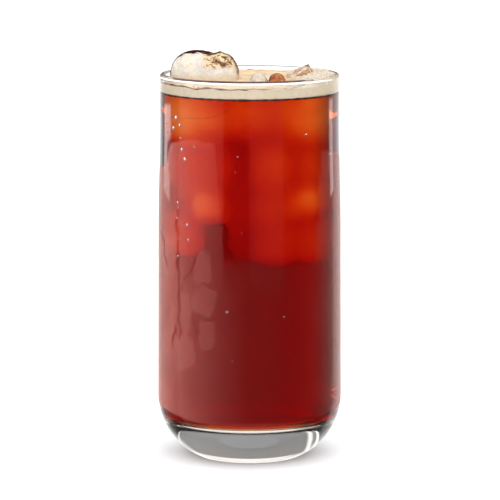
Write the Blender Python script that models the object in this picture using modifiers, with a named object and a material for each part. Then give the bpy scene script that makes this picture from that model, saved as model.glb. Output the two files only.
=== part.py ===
"""A tall round-bottomed glass of iced tea with a layer of foam and ice at the rim.

The origin is the middle of the foot, +Z runs up the glass and -Y is the front.
"""

import math

import bmesh
import bpy
from mathutils import Euler, Matrix, Vector, noise

MM = 0.001
COLLECTION = "iced_tea"
CUTTERS = "cutters"
GAP = 0.3 * MM
STEPS = 60

# The glass, outside
GLASS_H = 146.5 * MM
RIM_R = 34.0 * MM
BODY_R = 34.8 * MM
HEEL_R = 35.15 * MM
SHOULDER_Z = 130.0 * MM
BODY_Z = 85.0 * MM
HEEL_Z = 23.0 * MM
FOOT_R = 20.6 * MM
HEEL_ARC_H = 25.6 * MM

# The glass, inside
WALL = 1.9 * MM
LOW_WALL = 2.3 * MM
BOWL_TOP_Z = 23.0 * MM
BOWL_BOTTOM_Z = 13.4 * MM
BOWL_POWER = 5.0

# The drink
TEA_TOP_Z = 139.6 * MM
FOAM_TOP_Z = 143.6 * MM
FOAM_BACK_RISE = 1.1 * MM
FOAM_RIGHT_RISE = 2.4 * MM
FOAM_RIPPLE = 0.25 * MM

# The ice that stands out of the foam: middle, half sizes, roundness and turn in degrees
CHUNK = {
    "centre": (-17.1, 5.0, 142.2),
    "half": (13.1, 8.6, 12.6),
    "power": 3.0,
    "turn": (0, 0, -4),
    "detail": 4,
}
BUMP = {
    "centre": (3.1, -0.6, 140.6),
    "half": (3.5, 4.6, 6.2),
    "power": 2.3,
    "turn": (0, 8, 20),
    "detail": 3,
}
LUMP = {
    "centre": (10.7, -2.2, 140.4),
    "half": (3.1, 4.2, 6.2),
    "power": 2.6,
    "turn": (6, -6, -25),
    "detail": 3,
}
SHARD = {
    "centre": (19.0, 6.5, 141.5),
    "half": (6.6, 5.0, 9.0),
    "power": 3.5,
    "turn": (0, 0, -12),
    "detail": 3,
    "peak": (22.5, 8.0, 149.2),
    "faces": ((-0.51, -0.12, 0.86), (0.87, -0.10, 0.47)),
}
DIP_X = -14.0 * MM
DIP_HALF_WIDTH = 3.2 * MM
DIP_DEPTH = 1.0 * MM
KNOB_SIZE = 0.55 * MM
KNOB_SPACING = 3.4 * MM


def clear_scene():
    """Remove the objects that the file opened with."""
    for thing in list(bpy.data.objects):
        bpy.data.objects.remove(thing, do_unlink=True)


def new_collection(name):
    """A new collection in the scene."""
    collection = bpy.data.collections.new(name)
    bpy.context.scene.collection.children.link(collection)
    return collection


def ease(value, start, end):
    """A smooth step that goes from 0 at start to 1 at end."""
    share = min(max((value - start) / (end - start), 0.0), 1.0)
    return share * share * (3 - 2 * share)


def outer_radius(z):
    """The outside radius at a height above the heel."""
    body = RIM_R + (BODY_R - RIM_R) * ease(z, SHOULDER_Z, BODY_Z)
    lower = min(max((BODY_Z - z) / (BODY_Z - HEEL_Z), 0.0), 1.0)
    return body + (HEEL_R - BODY_R) * lower


def inner_radius(z):
    """The inside radius at a height above the bottom."""
    lower = min(max((SHOULDER_Z - z) / (SHOULDER_Z - BOWL_TOP_Z), 0.0), 1.0)
    return outer_radius(z) - WALL - (LOW_WALL - WALL) * lower


def heel_points(count=9):
    """The curve from the side down to the edge of the foot."""
    last = math.asin(HEEL_Z / HEEL_ARC_H)
    reach = (HEEL_R - FOOT_R) / (1 - math.cos(last))
    points = []
    for index in range(count + 1):
        angle = last * index / count
        radius = HEEL_R - reach * (1 - math.cos(angle))
        points.append((radius, HEEL_Z - HEEL_ARC_H * math.sin(angle)))
    return points


def bowl_points(inset=0.0, count=12):
    """The inside of the bottom, from the axis up to where the straight side starts."""
    radius = inner_radius(BOWL_TOP_Z) - inset
    depth = BOWL_TOP_Z - BOWL_BOTTOM_Z - inset
    points = []
    for index in range(count + 1):
        angle = math.pi / 2 * index / count
        across = math.sin(angle) ** (2 / BOWL_POWER)
        down = math.cos(angle) ** (2 / BOWL_POWER)
        points.append((radius * across, BOWL_TOP_Z - depth * down))
    points[0] = (0.0, points[0][1])
    return points


def rim_points(count=6):
    """The round lip, from its inner side over the top to its outer side."""
    radius = WALL / 2
    middle = RIM_R - radius
    z = GLASS_H - radius
    angles = [math.pi * (1 - index / count) for index in range(count + 1)]
    return [(middle + radius * math.cos(a), z + radius * math.sin(a)) for a in angles]


def levels(start, end, count):
    """Heights between two levels, without the levels themselves."""
    return [start + (end - start) * index / (count + 1) for index in range(1, count + 1)]


def profile_object(name, points, collection):
    """A wire in the XZ plane through the points."""
    mesh = bpy.data.meshes.new(name)
    edges = [(index, index + 1) for index in range(len(points) - 1)]
    mesh.from_pydata([(x, 0.0, z) for x, z in points], edges, [])
    wire = bpy.data.objects.new(name, mesh)
    collection.objects.link(wire)
    return wire


def turned(name, points, collection):
    """The solid that the profile makes when it is turned round the axis."""
    body = profile_object(name, points, collection)
    screw = body.modifiers.new("turn", "SCREW")
    screw.steps = STEPS
    screw.render_steps = STEPS
    screw.use_merge_vertices = True
    screw.merge_threshold = 0.00001
    screw.use_normal_calculate = True
    screw.use_smooth_shade = True
    return body


def apply_modifiers(body):
    """Put the evaluated mesh in the place of the object's own."""
    graph = bpy.context.evaluated_depsgraph_get()
    mesh = bpy.data.meshes.new_from_object(body.evaluated_get(graph))
    body.modifiers.clear()
    body.data = mesh


def shade(body):
    """Smooth shading with the real edges kept sharp."""
    body.data.shade_smooth()
    body.data.set_sharp_from_angle(angle=math.radians(40))


def material(name, colour, roughness, transmission=0.0, ior=1.45):
    """A Principled material."""
    made = bpy.data.materials.new(name)
    made.use_nodes = True
    shader = made.node_tree.nodes["Principled BSDF"]
    shader.inputs["Base Color"].default_value = (*colour, 1.0)
    shader.inputs["Roughness"].default_value = roughness
    shader.inputs["Metallic"].default_value = 0.0
    shader.inputs["Transmission Weight"].default_value = transmission
    shader.inputs["IOR"].default_value = ior
    made.diffuse_color = (*colour, 1.0)
    return made


def glass_material():
    return material("glass", (0.95, 0.97, 0.97), 0.03, transmission=1.0, ior=1.5)


def tea_material():
    return material("tea", (0.33, 0.02, 0.006), 0.05, transmission=0.8, ior=1.33)


def foam_material():
    return material("foam", (0.78, 0.64, 0.46), 0.6)


def ice_material():
    return material("ice", (0.85, 0.81, 0.74), 0.12, transmission=0.5, ior=1.31)


def make_glass(collection):
    """The tumbler: inside of the bottom, wall, lip, outside and heel in one profile."""
    points = bowl_points()
    side = levels(BOWL_TOP_Z, GLASS_H - WALL / 2, 7)
    points += [(inner_radius(z), z) for z in side]
    points += rim_points()
    points += [(outer_radius(z), z) for z in reversed(side)]
    points += heel_points()
    points.append((0.0, 0.0))
    return turned("glass", points, collection)


def make_tea(collection):
    """The drink, up to the foam and clear of the glass."""
    points = bowl_points(inset=GAP)
    points += [(inner_radius(z) - GAP, z) for z in levels(BOWL_TOP_Z, TEA_TOP_Z, 6)]
    points.append((inner_radius(TEA_TOP_Z) - GAP, TEA_TOP_Z))
    points.append((0.0, TEA_TOP_Z))
    return turned("tea", list(reversed(points)), collection)


def foam_height(x, y):
    """The top of the foam, higher at the back and heaped to the lip on the right."""
    reach = RIM_R - WALL
    back = FOAM_BACK_RISE * ease(y, -0.2 * reach, 0.9 * reach)
    right = FOAM_RIGHT_RISE * ease(x, 0.42 * reach, 0.8 * reach)
    ripple = FOAM_RIPPLE * noise.noise(Vector((x, y, 0.0)) * 180)
    return min(FOAM_TOP_Z + back + right + ripple, GLASS_H - GAP)


def make_foam(collection):
    """The foam: a disc on the drink with an uneven top."""
    bottom = TEA_TOP_Z + GAP
    edge = inner_radius(bottom) - GAP
    points = [(0.0, FOAM_TOP_Z)]
    points += [(edge * ring / 7, FOAM_TOP_Z) for ring in range(1, 8)]
    points += [(edge, bottom), (0.0, bottom)]
    foam = turned("foam", points, collection)
    apply_modifiers(foam)
    for vertex in foam.data.vertices:
        if vertex.co.z > bottom + GAP:
            vertex.co.z = foam_height(vertex.co.x, vertex.co.y)
    return foam


def rounded_box(direction, half, power):
    """The point of a rounded box that lies in a direction from its middle."""
    total = sum(abs(part) ** power for part in direction)
    return Vector(size * part / total ** (1 / power) for size, part in zip(half, direction))


def carve_chunk(point, middle):
    """Sink a dip across the top of the large ice and raise melt knobs right of it."""
    x = middle.x + point.x
    top = ease(point.z, 0.5 * CHUNK["half"][2] * MM, 0.9 * CHUNK["half"][2] * MM)
    dip = DIP_DEPTH * top * math.exp(-(((x - DIP_X) / DIP_HALF_WIDTH) ** 2))
    right = ease(x, DIP_X, DIP_X + DIP_HALF_WIDTH)
    knobs = KNOB_SIZE * top * right * noise.noise(point / KNOB_SPACING * 1.6)
    return point + Vector((0.0, knobs, knobs - dip))


def flatten(shell, peak, way, grow):
    """Cut a flat face through the peak; way points out of the face."""
    result = bmesh.ops.bisect_plane(
        shell,
        geom=[*shell.verts, *shell.edges, *shell.faces],
        plane_co=peak + way * grow,
        plane_no=way,
        clear_outer=True,
    )
    rim = [part for part in result["geom_cut"] if isinstance(part, bmesh.types.BMEdge)]
    bmesh.ops.edgeloop_fill(shell, edges=rim)


def ice_object(name, spec, collection, grow=0.0, carve=None):
    """A worn lump of ice; grow makes the same shape larger all round."""
    mesh = bpy.data.meshes.new(name)
    shell = bmesh.new()
    bmesh.ops.create_icosphere(shell, subdivisions=spec["detail"], radius=1.0)
    half = [size * MM + grow for size in spec["half"]]
    middle = Vector(spec["centre"]) * MM
    for vertex in shell.verts:
        point = rounded_box(vertex.co, half, spec["power"])
        vertex.co = carve(point, middle) if carve else point
    turn = Euler([math.radians(angle) for angle in spec["turn"]]).to_matrix().to_4x4()
    bmesh.ops.transform(shell, matrix=Matrix.Translation(middle) @ turn, verts=shell.verts)
    for way in spec.get("faces", ()):
        flatten(shell, Vector(spec["peak"]) * MM, Vector(way).normalized(), grow)
    shell.to_mesh(mesh)
    shell.free()
    body = bpy.data.objects.new(name, mesh)
    collection.objects.link(body)
    return body


def cut(body, cutter):
    """Take the cutter's shape out of a body."""
    boolean = body.modifiers.new("cut_" + cutter.name, "BOOLEAN")
    boolean.operation = "DIFFERENCE"
    boolean.object = cutter


def as_cutter(body):
    """Hide a body that only cuts others."""
    body.hide_render = True
    body.display_type = "WIRE"


def make_ice(collection, cutters):
    """The four pieces of ice, each with a slightly larger cutter."""
    pieces = {
        "ice_chunk": (CHUNK, carve_chunk),
        "ice_bump": (BUMP, None),
        "ice_lump": (LUMP, None),
        "ice_shard": (SHARD, None),
    }
    made = []
    shapes = []
    for name, (spec, carve) in pieces.items():
        made.append(ice_object(name, spec, collection, carve=carve))
        shape = ice_object(name + "_space", spec, cutters, grow=GAP, carve=carve)
        as_cutter(shape)
        shapes.append(shape)
    return made, shapes


def main():
    clear_scene()
    parts = new_collection(COLLECTION)
    cutters = new_collection(CUTTERS)
    glass = make_glass(parts)
    tea = make_tea(parts)
    foam = make_foam(parts)
    ice, spaces = make_ice(parts, cutters)
    for space in spaces:
        cut(tea, space)
        cut(foam, space)
    glass.data.materials.append(glass_material())
    tea.data.materials.append(tea_material())
    foam.data.materials.append(foam_material())
    frozen = ice_material()
    for piece in ice:
        piece.data.materials.append(frozen)
    for body in [foam, *ice]:
        shade(body)


main()
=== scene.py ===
"""Looks of the iced tea: clear glass, dark red tea over sunk ice, foam, standing ice and fogging."""

import math
import random

import bmesh
import bpy
from mathutils import Euler, Matrix, Vector, noise


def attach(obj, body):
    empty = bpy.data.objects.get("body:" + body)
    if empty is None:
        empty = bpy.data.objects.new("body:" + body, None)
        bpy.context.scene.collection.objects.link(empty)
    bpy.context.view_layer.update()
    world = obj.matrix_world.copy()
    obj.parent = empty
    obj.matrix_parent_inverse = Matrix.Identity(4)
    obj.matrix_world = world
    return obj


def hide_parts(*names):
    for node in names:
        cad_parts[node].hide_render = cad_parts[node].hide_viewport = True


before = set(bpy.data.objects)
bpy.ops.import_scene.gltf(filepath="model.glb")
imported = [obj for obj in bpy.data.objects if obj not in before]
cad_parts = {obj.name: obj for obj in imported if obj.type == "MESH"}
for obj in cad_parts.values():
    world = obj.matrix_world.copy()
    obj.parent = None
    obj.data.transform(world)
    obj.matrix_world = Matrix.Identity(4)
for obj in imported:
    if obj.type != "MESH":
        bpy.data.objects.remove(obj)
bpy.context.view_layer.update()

MM = 0.001

# The glass, as the CAD has it
GLASS_H = 146.5 * MM
RIM_R = 34.0 * MM
BODY_R = 34.8 * MM
HEEL_R = 35.15 * MM
SHOULDER_Z = 130.0 * MM
BODY_Z = 85.0 * MM
HEEL_Z = 23.0 * MM
FOOT_R = 20.6 * MM
HEEL_ARC_H = 25.6 * MM
WALL = 1.9 * MM
LOW_WALL = 2.3 * MM
BOWL_TOP_Z = 23.0 * MM
BOWL_BOTTOM_Z = 13.4 * MM
BOWL_POWER = 5.0
SEGMENTS = 240
WALL_LEVELS = 40
SHARP_ANGLE = math.radians(40)

# The drink
TEA_TOP_Z = 139.75 * MM
INTO_WALL = 0.15 * MM
FOAM_TOP_Z = 143.6 * MM

# How strongly the clear things bend light, the share of mirroring where the glass is wet, and
# how the tea takes up light
GLASS_BEND = 1.5
TEA_BEND = 1.33
SUNK_BEND = 1.006
RIM_ICE_BEND = 1.002
WET_MIRROR = 0.09
TEA_COLOUR = (0.9, 0.473, 0.0)
TEA_DENSITY = 300.0

# The camera, in the photograph's frame of 500 by 500 pixels
FRAME_PX = 500
FOCAL_PX = 2900.0
SENSOR_MM = 36.0
CAMERA_DISTANCE = 1.095
CAMERA_HEIGHT = 0.2513
RIM_ROW_PX = 73.0
AXIS_COLUMN_PX = 249.6
HALF_WIDTH_PX = 91.0
ROWS_PER_M = 2600.0
RIM_DEPTH_PX = 8.8
DEPTH_GAIN = 0.0315

# Light of the sky, and of what lies steeply below, which grows a little to the right
SKY_TOP = 1.5
SKY_LOW = 2.0
STEEP_LIGHT = 0.28
STEEP_GROWTH = 0.07

# The white sheet, and how often light may bounce
FLOOR_ALBEDO = 0.93
FLOOR_RADIUS = 9.0
LIGHT_BOUNCES = 24

# The slopes over which one kind of light changes to the next: from steeply below to AROUND,
# from there to JUST_ABOVE, and from there to the sky
STEEP_SLOPES = (-0.60, -0.50)
HORIZON_SLOPES = (-0.074, -0.060)
SKY_SLOPES = (0.36, 0.46)

# Light from just below the horizon, by angle round the glass; 0 is the front and 90 the right
AROUND = (
    (-180, 1.25), (-158, 1.2), (-151, 0.8), (-144, 0.45), (-135, 0.35), (-127, 0.18),
    (-118, 0.12), (-104, 0.05), (-100, 0.5), (-60, 0.42), (-34, 0.28), (-33, 0.05),
    (-1, 0.05), (0, 0.14), (43, 0.14), (44, 0.04), (100, 0.04), (118, 0.12),
    (127, 0.22), (135, 0.85), (144, 1.0), (151, 1.15), (158, 1.25), (180, 1.25),
)

# Bright panels behind the glass at its left and right: from and to by angle round it, from and
# to by slope, and their light; their edges are soft over an angle and a slope
PANELS = (
    (-142, -121, -0.1185, -0.1050, 1.9),
    (123, 134, -0.1165, -0.1030, 2.0),
)
PANEL_SOFT_ANGLE = 1.5
PANEL_SOFT_SLOPE = 0.002

# Up to this angle from the front, AROUND is a little weaker, and below these slopes LOW_FRONT,
# which has no hard bands, takes its place
FRONT_ANGLE = math.radians(101)
FRONT_FADE = (-0.162, -0.154)
FRONT_SHARE = 0.9
LOW_FRONT = (
    (-180, 0.42), (-60, 0.42), (-45, 0.32), (-33, 0.24), (-17, 0.14), (-4, 0.06),
    (20, 0.08), (60, 0.04), (180, 0.04),
)

# Light from just above the horizon, which the clear base shows after its foot mirrors it
JUST_ABOVE = (
    (-180, 0.33), (-147, 0.33), (-145.5, 1.5), (-142.5, 1.5), (-141, 0.42), (-136.5, 0.42),
    (-135, 1.9), (-132, 1.9), (-130.5, 0.12), (-100, 0.12), (-85, 3.8), (85, 3.8),
    (100, 0.12), (114, 0.12), (115.5, 1.9), (118.5, 1.9), (120, 0.42), (124.5, 0.42),
    (126, 1.5), (129, 1.5), (130.5, 0.42), (180, 0.33),
)

# Sunk ice: middle and half sizes of its lumps, in millimetres, melted into one cluster
SUNK_ICE = (
    ((-14.5, 0.0, 131.0), (14.0, 21.0, 12.5)),
    ((0.0, -1.0, 132.0), (13.0, 20.6, 12.0)),
    ((14.5, 1.0, 131.0), (14.0, 20.0, 12.5)),
    ((-12.5, 1.0, 111.0), (10.0, 16.5, 12.5)),
    ((6.5, -1.0, 112.0), (8.0, 19.0, 14.0)),
    ((17.0, 2.0, 111.0), (7.5, 14.5, 12.5)),
    ((-12.5, -1.0, 97.5), (7.0, 21.5, 8.0)),
    ((16.0, 1.0, 98.5), (8.0, 20.0, 7.0)),
    ((6.5, 0.0, 96.0), (7.5, 18.0, 11.0)),
    ((-2.5, 0.0, 100.0), (4.5, 11.0, 25.0)),
    ((-18.0, 2.0, 86.0), (6.0, 14.0, 9.5)),
    ((7.0, -1.0, 83.5), (8.5, 16.5, 10.5)),
    ((16.5, 1.0, 84.0), (7.5, 13.0, 10.0)),
)
SUNK_POWER = 2.6
SUNK_REACH = 30.8 * MM
SUNK_ROUGH = 1.6
SUNK_WAVES = (90.0, 210.0)
SUNK_VOXEL = 0.9 * MM
SUNK_SOFTENING = 14
SUNK_COVER = 0.2 * MM

# The fog on the outside, in pixels of the photograph: the row of its upper edge, which rises
# to a dome at the left and at the right side, and how soft and wavy this edge is
FOG_EDGE_ROW = 262.0
FOG_DOME_ROW = 142.0
FOG_DOME_DROP = 25.0
FOG_DOME_COLUMNS = (162.0, 172.0, 214.0, 226.0)
FOG_SIDE_ROW = 152.0
FOG_SIDE_COLUMNS = (312.0, 322.0)
FOG_SOFT_PX = 1.2
FOG_VEIL_PX = 12
FOG_WAVE_PX = 5
# How dense it is at the left and right outline, which is partly fog and partly painted light on the sides,
# over how many pixels this fades, how dense it is between them, and the least that is built and the most
FOG_AND_SHEEN_AT_SIDES = (0.42, 0.30)
FOG_FADE_PX = (20.0, 8.0)
FOG_THIN = 0.004
FOG_LEAST = 0.004
FOG_MOST = 0.9
# Its lower edge in millimetres, at the middle and how much higher at the sides, and how soft
FOG_FOOT = 15.2
FOG_FOOT_RISE = 4.9
FOG_FOOT_SOFT = 0.3
# The film's mesh: its lowest and highest level, its rows, how far it lies off the glass, and
# its fine and coarse columns by first angle, step and number
FOG_LOW_Z = 14.5 * MM
FOG_HIGH_Z = 131.0 * MM
FOG_ROWS = 290
FOG_OFF = 0.03 * MM
FOG_COLUMNS = ((-95, 0.55, 160), (-7, 3.0, 91))
# Islands in the film by their middle and half sizes, and clear runs from one place to another
# and their half width, all in pixels of the photograph
ISLAND_POWER = 2.6
ISLAND_FILM = 0.04
# Extra density along each island's edge is a painted highlight
ISLAND_EDGE_HIGHLIGHT = 0.045
RUN_CLEAR = 0.65
RUN_END = 0.3
FOG_ISLANDS = (
    (186.5, 315.0, 6.0, 20.0),
    (174.0, 316.0, 3.4, 14.0),
    (185.0, 353.0, 10.5, 17.5),
    (205.0, 301.0, 12.0, 13.5),
    (208.5, 334.0, 8.0, 16.0),
    (169.0, 341.0, 5.0, 14.0),
    (170.5, 255.0, 7.0, 22.0),
    (204.0, 268.0, 8.5, 17.0),
)
CLEAR_RUNS = (
    (179.0, 214.0, 181.5, 334.0, 1.5),
    (201.0, 248.0, 184.5, 286.0, 1.0),
    (195.0, 316.0, 197.0, 336.0, 0.9),
    (176.0, 328.0, 175.0, 345.0, 1.0),
    (163.5, 232.0, 167.0, 262.0, 0.9),
)

# Drops of water by angle from the front, height and size; the rest are strewn at random
DROPS = (
    (-54, 131.5, 0.9), (-50, 129.0, 0.6), (-57, 127.5, 0.7), (-48, 120.0, 0.6),
    (-45, 116.5, 0.7), (-51, 100.0, 0.5), (-14, 60.5, 0.45), (21.5, 58.5, 0.4),
    (-10.5, 42.0, 0.35), (38, 126.0, 0.4), (-42, 92.0, 0.5),
)
STREWN_DROPS = 46
STREWN_ANGLES = ((-70, -35), (-70, -35), (-180, 180))
STREWN_HEIGHTS = (36, 133)
DROP_LEAST = 0.16
DROP_SPREAD = 0.3
DROP_OFF = 0.02 * MM
DROP_FLAT = 0.35
DROP_TALL = 0.6

# The ice at the rim, as the CAD has it: middle, half sizes, roundness and turn in degrees
CHUNK = {
    "centre": (-17.1, 5.0, 142.2),
    "half": (13.1, 8.6, 12.6),
    "power": 3.0,
    "turn": (0, 0, -4),
}
BUMP = {
    "centre": (3.1, -0.6, 140.6),
    "half": (3.5, 4.6, 6.2),
    "power": 2.3,
    "turn": (0, 8, 20),
}
LUMP = {
    "centre": (10.7, -2.2, 140.4),
    "half": (3.1, 4.2, 6.2),
    "power": 2.6,
    "turn": (6, -6, -25),
}
SHARD = {
    "centre": (19.0, 6.5, 141.5),
    "half": (6.6, 5.0, 9.0),
    "power": 3.5,
    "turn": (0, 0, -12),
    "peak": (22.5, 8.0, 149.2),
    "faces": ((-0.51, -0.12, 0.86), (0.87, -0.10, 0.47)),
}
DIP_X = -14.0 * MM
DIP_HALF_WIDTH = 3.2 * MM
DIP_DEPTH = 1.0 * MM
KNOB_SIZE = 0.55 * MM
KNOB_SPACING = 3.4 * MM

# Ridges on the flat faces of ice: their depth, and their waves per metre across and up
RIDGE_DEPTH = 0.12 * MM
RIDGE_ACROSS = 900
RIDGE_UP = 250

# Rough relief, each by its depth in millimetres and its waves per metre
FACE_GRAIN = ((0.1, 600),)
CHUNK_GRAIN = ((0.22, 330), (0.12, 900))
ICE_GRAIN = ((0.25, 420), (0.12, 1100))
FROTH_GRAIN = ((0.16, 1300), (0.22, 520))

# The foam, as the CAD has it
FOAM_BACK_RISE = 1.1 * MM
FOAM_RIGHT_RISE = 2.4 * MM
FOAM_RIPPLE = 0.25 * MM

# The foam's mesh: its rings, the depths of its side in millimetres, its gap to the tea, and the
# span over which the colour of its heap begins
FOAM_RINGS = 90
FOAM_SIDE = (0.4, 0.8, 1.6, 2.6, 3.4, 3.9)
FOAM_GAP = 0.05 * MM
WELD = 0.01 * MM
HEAP_SPAN = (13.0 * MM, 21.0 * MM)
# Its bubbles: how many, and their size in millimetres
BUBBLES = 900
BUBBLE_LEAST = 0.16
BUBBLE_SPREAD = 0.42

# The section of a line on the wall: how far each corner lies into the glass, in millimetres,
# and how far up, as a share of half its thickness
WALL_LINE = ((0.03, 0.0), (0.0, 1.0), (-0.5, 0.6), (-0.5, -0.6), (0.0, -1.0))
# The section of a line on the lip: how far round each point lies, as a share of its half
# width, and how far off the lip, in millimetres
LIP_LINE = ((-1.0, -0.02), (-0.5, 0.05), (0.0, 0.05), (0.5, 0.05), (1.0, -0.02))


def ease(value, start, end):
    """A smooth step that goes from 0 at start to 1 at end."""
    share = min(max((value - start) / (end - start), 0.0), 1.0)
    return share * share * (3 - 2 * share)


def outer_radius(z):
    """The outside radius at a height above the heel."""
    body = RIM_R + (BODY_R - RIM_R) * ease(z, SHOULDER_Z, BODY_Z)
    lower = min(max((BODY_Z - z) / (BODY_Z - HEEL_Z), 0.0), 1.0)
    return body + (HEEL_R - BODY_R) * lower


def inner_radius(z):
    """The inside radius at a height above the bowl."""
    lower = min(max((SHOULDER_Z - z) / (SHOULDER_Z - BOWL_TOP_Z), 0.0), 1.0)
    return outer_radius(z) - WALL - (LOW_WALL - WALL) * lower


def heel_points(count=24):
    """The curve from the side down to the edge of the foot."""
    last = math.asin(HEEL_Z / HEEL_ARC_H)
    reach = (HEEL_R - FOOT_R) / (1 - math.cos(last))
    points = []
    for index in range(count + 1):
        angle = last * index / count
        radius = HEEL_R - reach * (1 - math.cos(angle))
        points.append((radius, HEEL_Z - HEEL_ARC_H * math.sin(angle)))
    return points


def bowl_points(inset=0.0, count=32):
    """The inside of the bottom, from the axis up to where the straight side starts."""
    radius = inner_radius(BOWL_TOP_Z) - inset
    depth = BOWL_TOP_Z - BOWL_BOTTOM_Z - inset
    points = []
    for index in range(count + 1):
        angle = math.pi / 2 * index / count
        across = math.sin(angle) ** (2 / BOWL_POWER)
        down = math.cos(angle) ** (2 / BOWL_POWER)
        points.append((radius * across, BOWL_TOP_Z - depth * down))
    points[0] = (0.0, points[0][1])
    return points


def rim_points(count=12):
    """The round lip, from its inner side over the top to its outer side."""
    radius = WALL / 2
    middle = RIM_R - radius
    z = GLASS_H - radius
    angles = [math.pi * (1 - index / count) for index in range(count + 1)]
    return [(middle + radius * math.cos(a), z + radius * math.sin(a)) for a in angles]


def outside(z):
    """The outside radius at any height of the glass."""
    if z >= HEEL_Z:
        return outer_radius(z)
    reach = (HEEL_R - FOOT_R) / (1 - math.sqrt(1 - (HEEL_Z / HEEL_ARC_H) ** 2))
    return HEEL_R - reach * (1 - math.sqrt(1 - ((HEEL_Z - z) / HEEL_ARC_H) ** 2))


def levels(start, end, count):
    """Heights between two levels, without the levels themselves."""
    return [start + (end - start) * index / (count + 1) for index in range(1, count + 1)]


def new_object(name, data):
    """An object in the scene for a mesh or a camera."""
    made = bpy.data.objects.new(name, data)
    bpy.context.scene.collection.objects.link(made)
    return made


def lathe(points):
    """Vertices and faces of a profile turned round the axis; its ends lie on the axis."""
    vertices = [(0.0, 0.0, points[0][1])]
    for radius, z in points[1:-1]:
        for step in range(SEGMENTS):
            angle = math.tau * step / SEGMENTS
            vertices.append((radius * math.cos(angle), radius * math.sin(angle), z))
    vertices.append((0.0, 0.0, points[-1][1]))
    faces = []
    rings = len(points) - 2
    for step in range(SEGMENTS):
        after = (step + 1) % SEGMENTS
        faces.append((0, 1 + step, 1 + after))
        for ring in range(rings - 1):
            low = 1 + ring * SEGMENTS
            high = low + SEGMENTS
            faces.append((low + step, high + step, high + after, low + after))
        last = 1 + (rings - 1) * SEGMENTS
        faces.append((last + step, len(vertices) - 1, last + after))
    return vertices, faces


def face_outward(mesh, weld=False):
    """Turn the faces of a closed mesh outward; weld first joins points that coincide."""
    shell = bmesh.new()
    shell.from_mesh(mesh)
    if weld:
        bmesh.ops.remove_doubles(shell, verts=shell.verts, dist=WELD)
    bmesh.ops.recalc_face_normals(shell, faces=shell.faces)
    shell.to_mesh(mesh)
    shell.free()
    mesh.shade_smooth()


def turned(name, points):
    """A smooth turned object, with its faces pointing out."""
    mesh = bpy.data.meshes.new(name)
    vertices, faces = lathe(points)
    mesh.from_pydata(vertices, [], faces)
    face_outward(mesh)
    return new_object(name, mesh)


def mark(mesh, name, values):
    """A number for each point of the mesh, for its material."""
    layer = mesh.attributes.new(name, "FLOAT", "POINT")
    layer.data.foreach_set("value", values)


def ball(detail):
    """The points of a ball of radius 1 and the points of each of its faces."""
    shell = bmesh.new()
    bmesh.ops.create_icosphere(shell, subdivisions=detail, radius=1.0)
    points = [vertex.co.copy() for vertex in shell.verts]
    sides = [[vertex.index for vertex in face.verts] for face in shell.faces]
    shell.free()
    return points, sides


def grain(point, layers):
    """Rough relief at a point: the sum of its layers of noise."""
    return sum(depth * MM * noise.noise(point * waves) for depth, waves in layers)


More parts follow.
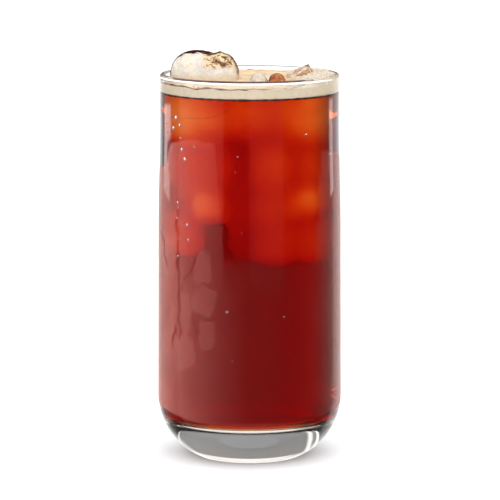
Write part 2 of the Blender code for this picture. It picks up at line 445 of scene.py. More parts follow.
class Nodes:
    """Short calls to build a node tree."""

    def __init__(self, tree):
        self.tree = tree

    def add(self, kind, **values):
        """A new node; keywords are its settings."""
        node = self.tree.nodes.new(kind)
        for name, value in values.items():
            setattr(node, name, value)
        return node

    def link(self, source, target):
        self.tree.links.new(source, target)

    def split(self, vector):
        """The x, y and z of a vector."""
        node = self.add("ShaderNodeSeparateXYZ")
        self.link(vector, node.inputs[0])
        return node.outputs

    def math(self, operation, first, second=0.0):
        """The result of an operation on two numbers or sockets."""
        node = self.add("ShaderNodeMath", operation=operation)
        for socket, value in zip(node.inputs, (first, second)):
            if isinstance(value, (int, float)):
                socket.default_value = value
            else:
                self.link(value, socket)
        return node.outputs[0]

    def attribute(self, name):
        """A number that each point of the mesh has."""
        return self.add("ShaderNodeAttribute", attribute_name=name).outputs["Fac"]

    def smooth(self, value, low, high, start=0.0, end=1.0):
        """A smooth change from start to end as the value goes from low to high."""
        node = self.add("ShaderNodeMapRange", interpolation_type="SMOOTHSTEP")
        self.link(value, node.inputs["Value"])
        for name, number in (("From Min", low), ("From Max", high), ("To Min", start), ("To Max", end)):
            node.inputs[name].default_value = number
        return node.outputs["Result"]

    def band(self, value, start, full, still_full, end):
        """1 from full to still_full, with a smooth rise before and a smooth fall after."""
        rise = self.smooth(value, start, full)
        return self.math("MULTIPLY", rise, self.smooth(value, still_full, end, 1.0, 0.0))

    def blend(self, share, first, second):
        """A number between two numbers."""
        return self.math(
            "ADD",
            self.math("MULTIPLY", self.math("SUBTRACT", 1.0, share), first),
            self.math("MULTIPLY", share, second),
        )

    def ramp(self, value, stops):
        """A number read from straight lines between stops of (place, number)."""
        node = self.add("ShaderNodeValToRGB")
        self.link(value, node.inputs[0])
        top = max(number for place, number in stops)
        elements = node.color_ramp.elements
        while len(elements) > 1:
            elements.remove(elements[-1])
        for index, (place, number) in enumerate(stops):
            element = elements[0] if index == 0 else elements.new(place)
            element.position = place
            element.color = (number / top, number / top, number / top, 1.0)
        return self.math("MULTIPLY", node.outputs["Color"], top)

    def by_angle(self, turn, lights):
        """Light by angle round the glass, from stops of (degrees, light)."""
        return self.ramp(turn, [((angle + 180) / 360, light) for angle, light in lights])

    def noise(self, vector, scale, detail=3.0, roughness=0.5, distortion=0.0):
        """Noise between 0 and 1; scale is in waves per metre."""
        node = self.add("ShaderNodeTexNoise")
        self.link(vector, node.inputs["Vector"])
        node.inputs["Scale"].default_value = scale
        node.inputs["Detail"].default_value = detail
        node.inputs["Roughness"].default_value = roughness
        node.inputs["Distortion"].default_value = distortion
        return node.outputs["Fac"]

    def mix(self, share, first, second):
        """A colour between two colours."""
        node = self.add("ShaderNodeMix", data_type="RGBA")
        colours = [socket for socket in node.inputs if socket.type == "RGBA"]
        self.link(share, node.inputs[0])
        for socket, value in zip(colours, (first, second)):
            if isinstance(value, tuple):
                socket.default_value = (*value, 1.0)
            else:
                self.link(value, socket)
        return next(socket for socket in node.outputs if socket.type == "RGBA")

    def bump(self, height, strength, distance):
        """Normals of a fine relief; distance is its depth in metres."""
        node = self.add("ShaderNodeBump")
        self.link(height, node.inputs["Height"])
        node.inputs["Strength"].default_value = strength
        node.inputs["Distance"].default_value = distance
        return node.outputs["Normal"]


def material(name, **sockets):
    """A Principled material; keywords are socket names with _ for a space."""
    made = bpy.data.materials.new(name)
    made.use_nodes = True
    nodes = Nodes(made.node_tree)
    shader = made.node_tree.nodes["Principled BSDF"]
    for key, value in sockets.items():
        shader.inputs[key.replace("_", " ")].default_value = value
    position = nodes.add("ShaderNodeTexCoord").outputs["Object"]
    return made, nodes, shader, position


def clear_material(name, bend, mirror):
    """A clear smooth material; mirror is the share of its reflection that is left."""
    return material(
        name,
        Base_Color=(1.0, 1.0, 1.0, 1.0),
        Transmission_Weight=1.0,
        IOR=bend,
        Roughness=0.0,
        Specular_Tint=(mirror, mirror, mirror, 1.0),
    )


def glass_material(name, mirror):
    """Clear glass or water."""
    return clear_material(name, GLASS_BEND, mirror)[0]


def tea_material():
    """Clear red-brown liquid; the faces towards sunk ice bend light very little."""
    made, nodes, shader, position = clear_material("tea_liquid", TEA_BEND, 0.0)
    ice_side = nodes.attribute("ice_side")
    bend = nodes.smooth(ice_side, 0.0, 1.0, TEA_BEND, SUNK_BEND)
    nodes.link(bend, shader.inputs["IOR"])
    volume = nodes.add("ShaderNodeVolumeAbsorption")
    volume.inputs["Color"].default_value = (*TEA_COLOUR, 1.0)
    volume.inputs["Density"].default_value = TEA_DENSITY
    output = made.node_tree.nodes["Material Output"]
    nodes.link(volume.outputs["Volume"], output.inputs["Volume"])
    return made


def foam_material():
    """Fine froth: cream where it lies on the glass, more beige on top, partly the froth's own colour and
    partly painted light on its side and painted shade on its top, with small dark bubbles.
    """
    made, nodes, shader, position = material("foam_froth", Roughness=0.6, Specular_IOR_Level=0.15)
    x = nodes.split(position)["X"]
    froth = nodes.noise(position, 700.0)
    cloud = nodes.noise(position, 130.0)
    top = nodes.attribute("top")
    cream = nodes.mix(nodes.smooth(froth, 0.3, 0.7), (0.90, 0.76, 0.56), (0.95, 0.82, 0.64))
    beige = nodes.mix(nodes.smooth(cloud, 0.3, 0.75), (0.66, 0.52, 0.34), (0.52, 0.36, 0.20))
    pale = nodes.mix(nodes.smooth(froth, 0.35, 0.7), (0.58, 0.51, 0.42), (0.44, 0.37, 0.30))
    heaped = nodes.mix(nodes.smooth(x, *HEAP_SPAN), beige, pale)
    # The lighter side and darker top are partly painted light and painted shade
    tone = nodes.mix(top, cream, heaped)
    nodes.link(tone, shader.inputs["Base Color"])
    nodes.link(nodes.bump(froth, 0.5, 0.0004), shader.inputs["Normal"])
    return made


def stain_and_shade_material(name, dark, light, scale):
    """A thin line on the glass in two tones: dried tea, the dark line under the foam, and the painted dark
    refraction on the lip.
    """
    made, nodes, shader, position = material(name, Roughness=0.35)
    tone = nodes.mix(nodes.smooth(nodes.noise(position, scale), 0.35, 0.65), dark, light)
    nodes.link(tone, shader.inputs["Base Color"])
    return made


def cloudy_material():
    """Cloudy ice: cream white with grey swirls, brown wet knobs, a painted dark reflection along its crest
    and stained edges.
    """
    made, nodes, shader, position = material("cloudy_ice", Roughness=0.4, Specular_IOR_Level=0.0)
    swirl = nodes.noise(position, 210.0, detail=5.0, roughness=0.6, distortion=1.6)
    fine = nodes.noise(position, 620.0, distortion=0.8)
    white = nodes.mix(nodes.smooth(swirl, 0.40, 0.62), (0.52, 0.48, 0.42), (0.42, 0.40, 0.37))
    streaked = nodes.mix(nodes.smooth(fine, 0.54, 0.68), white, (0.48, 0.38, 0.25))
    mottled = nodes.mix(nodes.smooth(fine, 0.38, 0.58), (0.09, 0.03, 0.010), (0.55, 0.42, 0.26))
    knobs = nodes.mix(nodes.attribute("knobs"), streaked, mottled)
    stained = nodes.mix(nodes.attribute("stain"), knobs, (0.48, 0.34, 0.18))
    # Painted dark reflection along the top of the ice
    tone = nodes.mix(nodes.attribute("painted_dark_edge"), stained, (0.035, 0.008, 0.004))
    nodes.link(tone, shader.inputs["Base Color"])
    nodes.link(nodes.bump(fine, 0.35, 0.0006), shader.inputs["Normal"])
    return made


def streaked_material():
    """Clear ridged ice: pale facets with brown streaks along its slope."""
    made, nodes, shader, position = material("streaked_ice", Roughness=0.25, Specular_IOR_Level=0.3)
    lie = nodes.add("ShaderNodeMapping", vector_type="POINT")
    nodes.link(position, lie.inputs["Vector"])
    lie.inputs["Rotation"].default_value = (0.0, math.radians(-32), 0.0)
    lie.inputs["Scale"].default_value = (0.12, 0.5, 1.0)
    streaks = nodes.noise(lie.outputs["Vector"], 900.0, distortion=0.4)
    pale = nodes.mix(nodes.smooth(streaks, 0.40, 0.60), (0.56, 0.46, 0.33), (0.30, 0.15, 0.07))
    # Painted shade at the tip of the shard
    tone = nodes.mix(nodes.attribute("painted_dark_edge"), pale, (0.12, 0.07, 0.05))
    nodes.link(tone, shader.inputs["Base Color"])
    return made


def amber_material():
    """Clear ice that shows the tea through it, painted on as a colour: bright in its middle, with painted
    shade round its edge.
    """
    made, nodes, shader, position = material("amber_ice", Roughness=0.2, Specular_IOR_Level=0.3)
    cloud = nodes.smooth(nodes.noise(position, 420.0), 0.35, 0.65)
    body = nodes.mix(cloud, (0.15, 0.035, 0.005), (0.42, 0.12, 0.02))
    # Painted shade round the lump's edge
    tone = nodes.mix(nodes.attribute("painted_dark_edge"), body, (0.05, 0.012, 0.004))
    nodes.link(tone, shader.inputs["Base Color"])
    return made


def sunk_ice_material():
    """The part of the rim's ice that stands in the tea: as clear as the drink round it."""
    return clear_material("sunk_ice", RIM_ICE_BEND, 0.0)[0]


def make_glass():
    """The tumbler; its inside is wet up to the foam, so it mirrors less there."""
    points = bowl_points()
    lip_z = GLASS_H - WALL / 2
    points += [(inner_radius(z), z) for z in levels(BOWL_TOP_Z, lip_z, WALL_LEVELS)]
    points += rim_points()
    points += [(outer_radius(z), z) for z in reversed(levels(HEEL_Z, lip_z, WALL_LEVELS))]
    points += heel_points()
    points.append((0.0, 0.0))
    glass = turned("glass_body", points)
    glass.data.set_sharp_from_angle(angle=SHARP_ANGLE)
    glass.data.materials.append(glass_material("clear_glass", 1.0))
    glass.data.materials.append(glass_material("wet_glass", WET_MIRROR))
    for face in glass.data.polygons:
        middle = face.center
        inside = math.hypot(middle.x, middle.y) < inner_radius(max(middle.z, BOWL_TOP_Z)) + INTO_WALL
        bottom = middle.z < BOWL_TOP_Z and face.normal.z > 0.0
        face.material_index = int(middle.z < FOAM_TOP_Z and (bottom or (inside and middle.z > BOWL_TOP_Z)))
    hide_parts("glass")
    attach(glass, "root")


def rounded_box(direction, half, power):
    """The point of a rounded box that lies in a direction from its middle."""
    total = sum(abs(part) ** power for part in direction)
    return Vector(size * part / total ** (1 / power) for size, part in zip(half, direction))


def flatten(shell, peak, way):
    """Press the points beyond a flat face onto it, with fine ridges along its slope."""
    for vertex in shell.verts:
        beyond = (vertex.co - peak).dot(way)
        if beyond > 0.0:
            across = vertex.co.y * RIDGE_ACROSS + vertex.co.z * RIDGE_UP
            ridge = RIDGE_DEPTH * (1 + math.sin(across))
            vertex.co -= way * (beyond + ridge + grain(vertex.co, FACE_GRAIN))


def lump(spec, detail, shape=None):
    """A rounded lump of ice in place, as a bmesh; shape moves each of its points."""
    shell = bmesh.new()
    bmesh.ops.create_icosphere(shell, subdivisions=detail, radius=1.0)
    half = [size * MM for size in spec["half"]]
    middle = Vector(spec["centre"]) * MM
    for vertex in shell.verts:
        point = rounded_box(vertex.co, half, spec["power"])
        vertex.co = shape(point, middle) if shape else point
    turn = Euler([math.radians(angle) for angle in spec.get("turn", (0, 0, 0))]).to_matrix().to_4x4()
    bmesh.ops.transform(shell, matrix=Matrix.Translation(middle) @ turn, verts=shell.verts)
    for way in spec.get("faces", ()):
        flatten(shell, Vector(spec["peak"]) * MM, Vector(way).normalized())
    return shell


def sunk_cluster():
    """The sunk ice: worn lumps melted into one closed form, kept inside the glass."""
    joined = bmesh.new()
    for centre, half in SUNK_ICE:
        piece = lump({"centre": centre, "half": half, "power": SUNK_POWER}, 4)
        mesh = bpy.data.meshes.new("lump")
        piece.to_mesh(mesh)
        piece.free()
        joined.from_mesh(mesh)
        bpy.data.meshes.remove(mesh)
    mesh = bpy.data.meshes.new("sunk_cluster")
    joined.to_mesh(mesh)
    joined.free()
    cluster = new_object("sunk_cluster", mesh)
    melt = cluster.modifiers.new("melt", "REMESH")
    melt.mode = "VOXEL"
    melt.voxel_size = SUNK_VOXEL
    soften = cluster.modifiers.new("soften", "SMOOTH")
    soften.factor = 0.5
    soften.iterations = SUNK_SOFTENING
    graph = bpy.context.evaluated_depsgraph_get()
    made = bpy.data.meshes.new_from_object(cluster.evaluated_get(graph))
    bpy.data.objects.remove(cluster)
    normals = [vertex.normal.copy() for vertex in made.vertices]
    wide, narrow = SUNK_WAVES
    for vertex, normal in zip(made.vertices, normals):
        swell = noise.noise(vertex.co * wide) + 0.5 * noise.noise(vertex.co * narrow)
        point = vertex.co + normal * SUNK_ROUGH * MM * swell
        reach = math.hypot(point.x, point.y)
        if reach > SUNK_REACH:
            point.x *= SUNK_REACH / reach
            point.y *= SUNK_REACH / reach
        point.z = min(point.z, TEA_TOP_Z - SUNK_COVER)
        vertex.co = point
    return made


def hollow_for_ice(tea):
    """Take the sunk ice out of the tea as a closed hollow, marked for its weaker bending."""
    mesh = tea.data
    vertices = [tuple(vertex.co) for vertex in mesh.vertices]
    faces = [tuple(face.vertices) for face in mesh.polygons]
    outer = len(vertices)
    cluster = sunk_cluster()
    vertices += [tuple(vertex.co) for vertex in cluster.vertices]
    faces += [tuple(outer + index for index in reversed(face.vertices)) for face in cluster.polygons]
    joined = bpy.data.meshes.new("tea_body")
    joined.from_pydata(vertices, [], faces)
    mark(joined, "ice_side", [float(index >= outer) for index in range(len(vertices))])
    joined.shade_smooth()
    tea.data = joined


def make_tea():
    """The tea, which reaches just into the glass so that no air lies between them."""
    points = bowl_points(inset=-INTO_WALL)
    points += [(inner_radius(z) + INTO_WALL, z) for z in levels(BOWL_TOP_Z, TEA_TOP_Z, WALL_LEVELS)]
    points.append((inner_radius(TEA_TOP_Z) + INTO_WALL, TEA_TOP_Z))
    points.append((0.0, TEA_TOP_Z))
    tea = turned("tea_body", points)
    hollow_for_ice(tea)
    tea.data.set_sharp_from_angle(angle=SHARP_ANGLE)
    tea.data.materials.append(tea_material())
    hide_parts("tea")
    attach(tea, "root")


def foam_height(x, y):
    """The top of the foam, higher at the back and heaped to the lip on the right."""
    reach = RIM_R - WALL
    back = FOAM_BACK_RISE * ease(y, -0.2 * reach, 0.9 * reach)
    right = FOAM_RIGHT_RISE * ease(x, 0.42 * reach, 0.8 * reach)
    ripple = FOAM_RIPPLE * noise.noise(Vector((x, y, 0.0)) * 180)
    return min(FOAM_TOP_Z + back + right + ripple, GLASS_H - 0.3 * MM)


def foam_edge(angle):
    """How far the foam's edge on the glass sinks below its top, in waves."""
    way = Vector((math.cos(angle), math.sin(angle), 0.0))
    wave = noise.noise(way * 3.1) + 0.6 * noise.noise(way * 8.0)
    return (0.10 + 0.60 * max(wave, -0.2)) * MM


def make_foam():
    """The layer of foam, which reaches just into the wall and has a rough top."""
    rings = FOAM_RINGS
    edge = inner_radius(FOAM_TOP_Z) + INTO_WALL
    bottom = TEA_TOP_Z + FOAM_GAP
    vertices = []
    top = []
    for ring in range(rings + 1):
        for step in range(SEGMENTS):
            angle = math.tau * step / SEGMENTS
            radius = edge * ring / rings
            x = radius * math.cos(angle)
            y = radius * math.sin(angle)
            spot = Vector((x, y, 0.0))
            sink = foam_edge(angle) * ease(ring, 0.90 * rings, rings)
            vertices.append((x, y, foam_height(x, y) + grain(spot, FROTH_GRAIN) - sink))
            top.append(1.0 if ring < rings - 1 else 0.4)
    for depth in FOAM_SIDE:
        for step in range(SEGMENTS):
            x, y, z = vertices[rings * SEGMENTS + step]
            vertices.append((x, y, z + (bottom - z) * (depth / FOAM_SIDE[-1])))
            top.append(0.0)
    vertices.append((0.0, 0.0, bottom))
    top.append(0.0)
    faces = []
    bands = rings + len(FOAM_SIDE)
    for ring in range(bands):
        for step in range(SEGMENTS):
            after = (step + 1) % SEGMENTS
            low = ring * SEGMENTS
            high = low + SEGMENTS
            faces.append((low + step, high + step, high + after, low + after))
    last = bands * SEGMENTS
    for step in range(SEGMENTS):
        faces.append((last + step, len(vertices) - 1, last + (step + 1) % SEGMENTS))
    mesh = bpy.data.meshes.new("foam_layer")
    mesh.from_pydata(vertices, [], faces)
    mark(mesh, "top", top)
    face_outward(mesh, weld=True)
    foam = new_object("foam_layer", mesh)
    mesh.materials.append(foam_material())
    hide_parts("foam")
    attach(foam, "root")


def make_bubbles():
    """Small domes of froth, thick on the heap at the right and few elsewhere."""
    dice = random.Random(7)
    shape, sides = ball(2)
    vertices = []
    faces = []
    reach = inner_radius(FOAM_TOP_Z) - 0.5 * MM
    while len(vertices) < BUBBLES * len(shape):
        x = dice.uniform(-reach, reach)
        y = dice.uniform(-reach, reach)
        heap = ease(x, 0.30 * reach, 0.62 * reach)
        if math.hypot(x, y) > reach or dice.random() > 0.10 + 0.9 * heap:
            continue
        size = (BUBBLE_LEAST + BUBBLE_SPREAD * dice.random() ** 3) * MM
        middle = Vector((x, y, foam_height(x, y) + 0.15 * size))
        start = len(vertices)
        vertices += [tuple(middle + point * size) for point in shape]
        faces += [tuple(start + index for index in side) for side in sides]
    mesh = bpy.data.meshes.new("foam_bubbles")
    mesh.from_pydata(vertices, [], faces)
    mark(mesh, "top", [1.0] * len(vertices))
    mesh.shade_smooth()
    bubbles = new_object("foam_bubbles", mesh)
    mesh.materials.append(foam_material())
    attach(bubbles, "root")


def wall_line(name, height, thick, made):
    """A thin line on the inside of the wall, by its height and thickness at each angle."""
    vertices = []
    count = 3 * SEGMENTS
    for step in range(count):
        angle = math.tau * step / count
        z = height(angle)
        half = thick(angle) / 2
        radius = inner_radius(z) + INTO_WALL
        for away, up in WALL_LINE:
            out = radius + away * MM
            vertices.append((out * math.cos(angle), out * math.sin(angle), z + up * half))
    faces = []
    corners = len(WALL_LINE)
    for step in range(count):
        low = corners * step
        high = corners * ((step + 1) % count)
        for side in range(corners):
            after = (side + 1) % corners
            faces.append((low + side, high + side, high + after, low + after))
    mesh = bpy.data.meshes.new(name)
    mesh.from_pydata(vertices, [], faces)
    face_outward(mesh)
    line = new_object(name, mesh)
    mesh.materials.append(made)
    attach(line, "root")


def lip_line(name, turn, half_wide, span, made):
    """A line along part of the lip: where it lies round the lip's section, its half width and span."""
    first, last = span
    count = 2 * SEGMENTS
    middle_r = RIM_R - WALL / 2
    middle_z = GLASS_H - WALL / 2
    vertices = []
    for step in range(count + 1):
        angle = first + (last - first) * step / count
        way = Vector((math.cos(angle), math.sin(angle), 0.4))
        end = ease(step, 0, 0.06 * count) * ease(count - step, 0, 0.10 * count)
        wide = half_wide * end * (1.0 + 0.35 * noise.noise(way * 9.0))
        for share, off in LIP_LINE:
            tilt = turn + share * wide
            reach = WALL / 2 + off * MM
            radius = middle_r + reach * math.cos(tilt)
            z = middle_z + reach * math.sin(tilt)
            vertices.append((radius * math.cos(angle), radius * math.sin(angle), z))
    faces = []
    points = len(LIP_LINE)
    for step in range(count):
        low = points * step
        high = low + points
        for side in range(points - 1):
            faces.append((low + side, high + side, high + 1 + side, low + 1 + side))
    mesh = bpy.data.meshes.new(name)
    mesh.from_pydata(vertices, [], faces)
    mesh.shade_smooth()
    line = new_object(name, mesh)
    mesh.materials.append(made)
    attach(line, "root")


def make_lip_lines():
    """A painted dark line on top of the lip, standing in for its refraction, and a painted highlight on
    its outside, at the front.
    """
    # Painted highlight on the outside of the lip
    pale = material("lip_painted_highlight", Roughness=0.4, Base_Color=(0.95, 0.94, 0.92, 1.0))[0]
    # Painted dark refraction along the top of the lip
    painted_dark = stain_and_shade_material("lip_painted_dark_line", (0.03, 0.007, 0.003), (0.09, 0.03, 0.012), 400.0)
    lip_line("painted_dark_line_on_lip", math.radians(54), 0.60, (math.radians(-150), math.radians(-48)), painted_dark)
    lip_line("painted_highlight_on_lip", math.radians(-18), 0.55, (math.radians(-176), math.radians(-20)), pale)


def make_lines():
    """The dark broken line under the foam and the brown wavy one at its top edge."""

    def under_thick(angle):
        """Thickness of the dark line, which thins just right of the middle."""
        way = Vector((math.cos(angle), math.sin(angle), 0.3))
        broken = noise.noise(way * 14.0) + 0.6 * noise.noise(way * 45.0)
        gap = math.exp(-(((angle - math.radians(-85)) / math.radians(9)) ** 2))
        return max(0.62 + 0.5 * broken - 0.45 * gap, 0.08) * MM

    def top_height(angle):
        """Height of the foam where it meets the glass."""
        edge = inner_radius(FOAM_TOP_Z)
        return foam_height(edge * math.cos(angle), edge * math.sin(angle)) - foam_edge(angle)

    def top_thick(angle):
        """Thickness of the brown line, which thins out at the right."""
        way = Vector((math.cos(angle), math.sin(angle), 0.7))
        right = ease(math.cos(angle), 0.1, 0.25)
        return max(0.42 + 0.5 * noise.noise(way * 11.0) - 0.5 * right, 0.06) * MM

    # A dark line along the wall just under the foam
    dark = stain_and_shade_material("under_foam_dark_line", (0.02, 0.003, 0.001), (0.07, 0.012, 0.003), 500.0)
    brown = stain_and_shade_material("dried_tea", (0.10, 0.035, 0.012), (0.42, 0.17, 0.06), 400.0)
    wall_line("line_under_foam", lambda angle: TEA_TOP_Z - 0.25 * MM, under_thick, dark)
    wall_line("line_over_foam", top_height, top_thick, brown)
    make_lip_lines()


def carve_chunk(point, middle):
    """Sink a dip across the top of the large ice and raise melt knobs right of it."""
    x = middle.x + point.x
    high = 0.5 * CHUNK["half"][2] * MM
    top = ease(point.z, high, 0.9 * CHUNK["half"][2] * MM)
    dip = DIP_DEPTH * top * math.exp(-(((x - DIP_X) / DIP_HALF_WIDTH) ** 2))
    right = ease(x, DIP_X, DIP_X + DIP_HALF_WIDTH)
    knobs = KNOB_SIZE * top * right * noise.noise(point / KNOB_SPACING * 1.6)
    way = point.normalized()
    return point + Vector((0.0, knobs, knobs - dip)) + way * grain(point, CHUNK_GRAIN)


def worn_ice(point, middle):
    """Small melt dents all over a piece of ice."""
    way = point.normalized()
    return point + way * grain(point, ICE_GRAIN)


def ice_piece(name, node, spec, detail, shape, made, marks):
    """A piece of ice at the rim; marks gives the numbers its material reads."""
    shell = lump(spec, detail, shape)
    mesh = bpy.data.meshes.new(name)
    shell.to_mesh(mesh)
    shell.free()
    mesh.shade_smooth()
    body = new_object(name, mesh)
    for key, rule in marks.items():
        mark(mesh, key, [rule(vertex.co / MM, vertex.normal) for vertex in mesh.vertices])
    mesh.materials.append(made)
    mesh.materials.append(sunk_ice_material())
    for face in mesh.polygons:
        face.material_index = int(face.center.z < TEA_TOP_Z)
    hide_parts(node)
    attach(body, "root")


def make_ice():
    """The four pieces of ice that stand out of the foam."""

    def chunk_painted_dark_line(point, normal):
        """The painted dark reflection along its top."""
        # Painted dark reflection on the chunk, where it faces up and back
        wide = 0.26 + 0.17 * math.exp(-((point.x + 20.0) / 4.5) ** 2) + 0.06 * noise.noise(point * 0.9)
        line = ease(normal.y, -wide - 0.07, -wide + 0.03) * (1 - ease(normal.y, 0.10, 0.17))
        return line * ease(point.z, 145.0, 146.5) * (1.0 - 0.35 * ease(point.x, -16.0, -13.0))

    def chunk_knobs(point, normal):
        """The brown mottling high on its front, from the dip to the right."""
        return ease(point.x, -19.0, -15.5) * ease(point.z, 147.6, 149.8) * ease(-normal.y, -0.2, 0.2)

    def chunk_stain(point, normal):
        """Tea soaked into its right edge and its foot."""
        edge = 0.55 * ease(point.x, -6.6, -4.8)
        foot = 0.55 * ease(-point.z, -146.2, -144.4)
        return max(edge, foot)

    ice_piece(
        "chunk_of_ice",
        "ice_chunk",
        CHUNK,
        6,
        carve_chunk,
        cloudy_material(),
        {"painted_dark_edge": chunk_painted_dark_line, "knobs": chunk_knobs, "stain": chunk_stain},
    )
    ice_piece(
        "bump_of_ice",
        "ice_bump",
        BUMP,
        5,
        worn_ice,
        cloudy_material(),
        {
            # Painted dark reflection on the top of the bump
            "painted_dark_edge": lambda point, normal: 0.5 * ease(normal.z, 0.90, 0.97) * ease(-point.x, -2.0, 0.5),
            "knobs": lambda point, normal: 0.25,
            "stain": lambda point, normal: 0.0,
        },
    )
    ice_piece(
        "lump_of_ice",
        "ice_lump",
        LUMP,
        5,
        worn_ice,
        amber_material(),
        # Painted shade on the lump's left side and top
        {"painted_dark_edge": lambda point, normal: max(ease(-normal.x, 0.5, 0.8), ease(normal.z, 0.93, 0.98))},
    )
    ice_piece(
        "shard_of_ice",
        "ice_shard",
        SHARD,
        5,
        worn_ice,
        streaked_material(),
        # Painted shade at the shard's tip
        {"painted_dark_edge": lambda point, normal: ease(point.z, 148.0, 148.8)},
    )


def photo_place(angle, z):
    """Where a point of the outside lies in the photograph, for the half that faces the camera."""
    down = (GLASS_H - z) * ROWS_PER_M
    column = AXIS_COLUMN_PX + HALF_WIDTH_PX * math.sin(angle)
    row = RIM_ROW_PX + down + math.cos(angle) * (RIM_DEPTH_PX + DEPTH_GAIN * down)
    return column, row


def islands_and_runs(column, row, amount):
    """The fog's amount at the front left, with its islands added and its runs cleared."""
    shift = Vector((column * 0.11, row * 0.08, 0.0))
    column += 2.8 * noise.noise(shift) + 1.3 * noise.noise(shift * 2.7)
    row += 5.0 * noise.noise(shift + Vector((7.0, 3.0, 0.0))) + 2.4 * noise.noise(shift * 2.3)
    power = ISLAND_POWER
    for x, y, wide, high in FOG_ISLANDS:
        apart = (abs((column - x) / wide) ** power + abs((row - y) / high) ** power) ** (1 / power)
        film = ISLAND_FILM * (1 - ease(apart, 0.94, 1.0))
        # The island's edge gets a painted highlight
        amount += film + ISLAND_EDGE_HIGHLIGHT * (1 - ease(abs(apart - 0.95), 0.0, 0.06))
    for x0, y0, x1, y1, wide in CLEAR_RUNS:
        share = min(max((row - y0) / (y1 - y0), 0.0), 1.0)
        past_end = row - y0 - share * (y1 - y0)
        off = math.hypot(column - (x0 + (x1 - x0) * share), RUN_END * past_end)
        amount *= 1 - RUN_CLEAR * (1 - ease(off, 0.6 * wide, 1.1 * wide))
    return amount


def fog_amount(angle, z):
    """How dense the fog film is; angle 0 is the front and grows to the right."""
    column, row = photo_place(angle, z)
    near = math.cos(angle) > 0.0
    spot = Vector((math.sin(angle) * 35, math.cos(angle) * 35, z * 1000))
    wave = noise.noise(spot * 0.09)
    from_left = max(column - (AXIS_COLUMN_PX - HALF_WIDTH_PX), 0)
    from_right = max(AXIS_COLUMN_PX + HALF_WIDTH_PX - column, 0)
    # Denser towards the left and right outline: partly fog, partly painted light on the sides
    left = FOG_AND_SHEEN_AT_SIDES[0] * math.exp(-from_left / FOG_FADE_PX[0])
    right = FOG_AND_SHEEN_AT_SIDES[1] * math.exp(-from_right / FOG_FADE_PX[1])
    edge = FOG_EDGE_ROW
    ends = FOG_DOME_COLUMNS
    side = FOG_SIDE_COLUMNS
    if near and column < ends[3]:
        edge = FOG_DOME_ROW + (FOG_EDGE_ROW - FOG_DOME_ROW) * ease(column, ends[2], ends[3])
        edge += FOG_DOME_DROP * ease(-column, -ends[1], -ends[0])
    elif near and column > side[0]:
        edge += (FOG_SIDE_ROW - FOG_EDGE_ROW) * ease(column, side[0], side[1])
    elif not near:
        top = FOG_SIDE_ROW if column > AXIS_COLUMN_PX else FOG_DOME_ROW + FOG_DOME_DROP
        edge += (top - FOG_EDGE_ROW) * ease(math.cos(angle), -0.8, 0.0)
    middle = edge + FOG_WAVE_PX * wave
    start = ease(row, middle - FOG_SOFT_PX, middle + FOG_SOFT_PX)
    if ends[3] < column < side[0]:
        start = ease(row, edge - FOG_VEIL_PX, edge + FOG_VEIL_PX)
    low = (FOG_FOOT + FOG_FOOT_RISE * abs(math.sin(angle)) ** 1.3) * MM
    end = ease(z, low - FOG_FOOT_SOFT * MM, low + FOG_FOOT_SOFT * MM)
    amount = (left + right + FOG_THIN) * start * end * (1 + 0.25 * wave)
    if near and column < ends[3]:
        amount = islands_and_runs(column, row, amount)
    return max(min(amount, FOG_MOST), 0.0)


def make_fog():
    """A thin film of fog on the outside, finest where it breaks into islands at the front left."""
    turns = [
        math.radians(first + gap * step) for first, gap, number in FOG_COLUMNS for step in range(number)
    ]
    rows = FOG_ROWS
    vertices = []
    amounts = []
    for row in range(rows + 1):
        z = FOG_LOW_Z + (FOG_HIGH_Z - FOG_LOW_Z) * row / rows
        radius = outside(z) + FOG_OFF
        for angle in turns:
            vertices.append((radius * math.sin(angle), -radius * math.cos(angle), z))
            amounts.append(fog_amount(angle, z))
    count = len(turns)
    faces = []
    for row in range(rows):
        for step in range(count):
            after = (step + 1) % count
            low = row * count
            high = low + count
            face = (low + step, low + after, high + after, high + step)
            if max(amounts[index] for index in face) > FOG_LEAST:
                faces.append(face)
    mesh = bpy.data.meshes.new("fog_film")
    mesh.from_pydata(vertices, [], faces)
    mark(mesh, "fog_and_sheen", amounts)
    mesh.shade_smooth()
    film = new_object("fog_film", mesh)
    made, nodes, shader, position = material(
        "fog_and_sheen",
        # Its red tint is painted light, the glow of the tea seen through the fog
        Base_Color=(0.62, 0.27, 0.23, 1.0),
        Roughness=1.0,
        Specular_IOR_Level=0.0,
    )
    nodes.link(nodes.attribute("fog_and_sheen"), shader.inputs["Alpha"])
    mesh.materials.append(made)
    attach(film, "root")


def make_drops():
    """Small drops of water on the outside, most of them at the upper left."""
    dice = random.Random(11)
    shape, sides = ball(3)
    places = list(DROPS)
    while len(places) < len(DROPS) + STREWN_DROPS:
        angle = dice.choice([dice.uniform(*span) for span in STREWN_ANGLES])
        height = dice.uniform(*STREWN_HEIGHTS)
        places.append((angle, height, DROP_LEAST + DROP_SPREAD * dice.random() ** 2))
    vertices = []
    faces = []
    for angle, z, size in places:
        angle = math.radians(angle)
        z *= MM
        out = Vector((math.sin(angle), -math.cos(angle), 0.0))
        along = Vector((math.cos(angle), math.sin(angle), 0.0))
        middle = out * (outer_radius(z) + DROP_OFF) + Vector((0.0, 0.0, z))
        start = len(vertices)
        tall = 1.0 + DROP_TALL * dice.random()
        for point in shape:
            spot = along * point.x + out * point.y * DROP_FLAT + Vector((0, 0, tall * point.z))
            vertices.append(tuple(middle + size * MM * spot))
        faces += [tuple(start + index for index in side) for side in sides]
    mesh = bpy.data.meshes.new("water_drops")
    mesh.from_pydata(vertices, [], faces)
    mesh.shade_smooth()
    drops = new_object("water_drops", mesh)
    mesh.materials.append(glass_material("water", 1.0))
    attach(drops, "root")


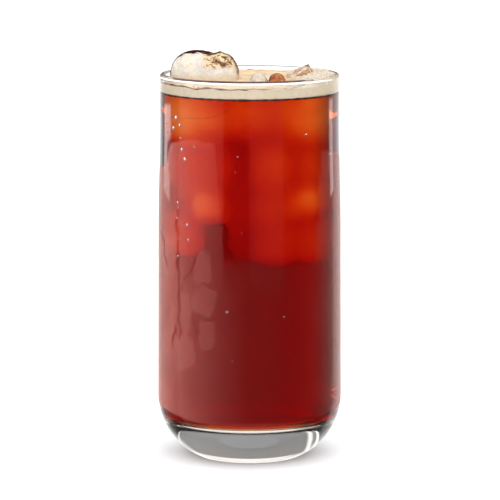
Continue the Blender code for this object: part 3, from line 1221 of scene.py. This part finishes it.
def make_floor():
    """A wide sheet of white paper, which mirrored and bent light does not see."""
    mesh = bpy.data.meshes.new("floor")
    shell = bmesh.new()
    bmesh.ops.create_circle(shell, cap_ends=True, segments=64, radius=FLOOR_RADIUS)
    shell.to_mesh(mesh)
    shell.free()
    floor = new_object("floor", mesh)
    paper = material(
        "floor_paper",
        Base_Color=(FLOOR_ALBEDO, FLOOR_ALBEDO, FLOOR_ALBEDO, 1.0),
        Roughness=1.0,
        Specular_IOR_Level=0.0,
    )[0]
    floor.data.materials.append(paper)
    floor.visible_glossy = False
    floor.visible_transmission = False


def make_world():
    """A bright soft sky, and round the glass the light that its mirroring and bending show."""
    world = bpy.data.worlds.new("studio")
    bpy.context.scene.world = world
    world.use_nodes = True
    nodes = Nodes(world.node_tree)
    background = world.node_tree.nodes["Background"]
    direction = nodes.add("ShaderNodeTexCoord").outputs["Generated"]
    x, y, z = nodes.split(direction)
    azimuth = nodes.math("ARCTAN2", x, nodes.math("MULTIPLY", y, -1.0))
    turn = nodes.math("ADD", nodes.math("DIVIDE", azimuth, math.tau), 0.5)
    around = nodes.by_angle(turn, AROUND)
    front = nodes.math("LESS_THAN", nodes.math("ABSOLUTE", azimuth), FRONT_ANGLE)
    low_front = nodes.by_angle(turn, LOW_FRONT)
    banded = nodes.math("MULTIPLY", around, FRONT_SHARE)
    around = nodes.blend(front, around, nodes.blend(nodes.smooth(z, *FRONT_FADE), low_front, banded))
    for start, end, low, high, light in PANELS:
        turns = (start, start + PANEL_SOFT_ANGLE, end - PANEL_SOFT_ANGLE, end)
        wide = nodes.band(azimuth, *(math.radians(angle) for angle in turns))
        tall = nodes.band(z, low, low + PANEL_SOFT_SLOPE, high - PANEL_SOFT_SLOPE, high)
        lit = nodes.math("MULTIPLY", nodes.math("MULTIPLY", wide, tall), light)
        around = nodes.math("ADD", around, lit)
    under = nodes.math("ADD", nodes.math("MULTIPLY", x, STEEP_GROWTH), STEEP_LIGHT)
    below = nodes.blend(nodes.smooth(z, *STEEP_SLOPES), under, around)
    horizon = nodes.by_angle(turn, JUST_ABOVE)
    sky = nodes.smooth(z, 0.0, 1.0, SKY_LOW, SKY_TOP)
    above = nodes.blend(nodes.smooth(z, *SKY_SLOPES), horizon, sky)
    light = nodes.blend(nodes.smooth(z, *HORIZON_SLOPES), below, above)
    nodes.link(light, background.inputs["Strength"])
    background.inputs["Color"].default_value = (1.0, 1.0, 1.0, 1.0)


def make_camera():
    """A long lens, pitched so that the lip and the axis fall on their pixels."""
    data = bpy.data.cameras.new("camera")
    camera = new_object("camera", data)
    data.sensor_width = SENSOR_MM
    data.lens = FOCAL_PX / FRAME_PX * SENSOR_MM
    down_to_rim = math.atan((CAMERA_HEIGHT - GLASS_H) / CAMERA_DISTANCE)
    above_axis = math.atan((FRAME_PX / 2 - RIM_ROW_PX) / FOCAL_PX)
    pitch = down_to_rim + above_axis
    side = CAMERA_DISTANCE * (FRAME_PX / 2 - AXIS_COLUMN_PX) / FOCAL_PX
    camera.location = (side, -CAMERA_DISTANCE, CAMERA_HEIGHT)
    camera.rotation_euler = (math.pi / 2 - pitch, 0.0, 0.0)
    data.clip_end = 50.0
    bpy.context.scene.camera = camera


def set_view():
    """Plain colours, and enough bounces for light that goes through the glass, tea and ice."""
    scene = bpy.context.scene
    scene.view_settings.view_transform = "Standard"
    scene.view_settings.look = "None"
    scene.cycles.max_bounces = LIGHT_BOUNCES
    scene.cycles.transmission_bounces = LIGHT_BOUNCES


def main():
    """Everything round the frame, in order."""
    make_camera()
    make_world()
    make_floor()
    set_view()
    make_glass()
    make_tea()
    make_foam()
    make_bubbles()
    make_lines()
    make_ice()
    make_fog()
    make_drops()


main()
